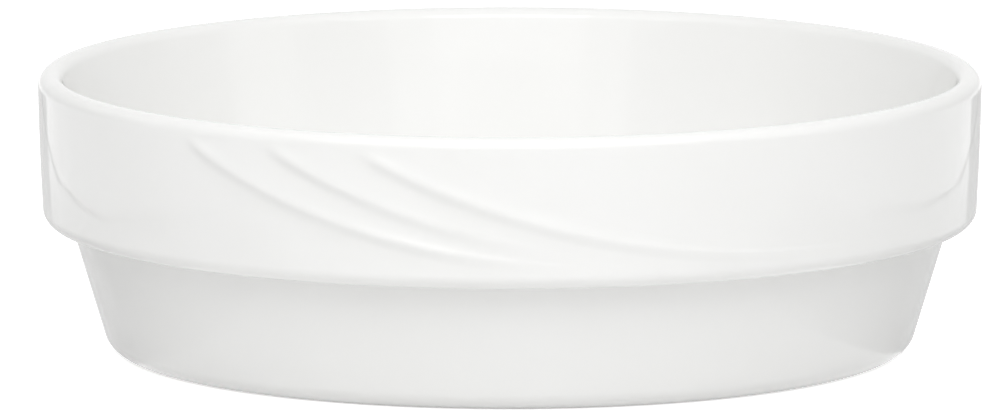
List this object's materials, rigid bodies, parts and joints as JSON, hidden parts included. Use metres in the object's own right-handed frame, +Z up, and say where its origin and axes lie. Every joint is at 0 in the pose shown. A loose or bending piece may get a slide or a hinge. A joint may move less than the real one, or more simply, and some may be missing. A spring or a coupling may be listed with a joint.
{
  "type": "stew bowl",
  "caption": "Round stacking stew bowl of white glazed porcelain: sloping body under a wide upright collar with sweeping raised folds, and a rounded rim.",
  "frame": {"origin": "centre of the foot ring, on the plane that the bowl stands on", "axes": "+Z up along the bowl's axis, -Y towards the front, where the picture shows the folds"},
  "size_m": [0.18, 0.1808, 0.0534],
  "materials": {
    "glazed_porcelain": "smooth clear glaze over a white hard porcelain body, with the standing ring left unglazed"
  },
  "bodies": {
    "root": {"bowl": "glazed_porcelain"}
  },
  "joints": []
}
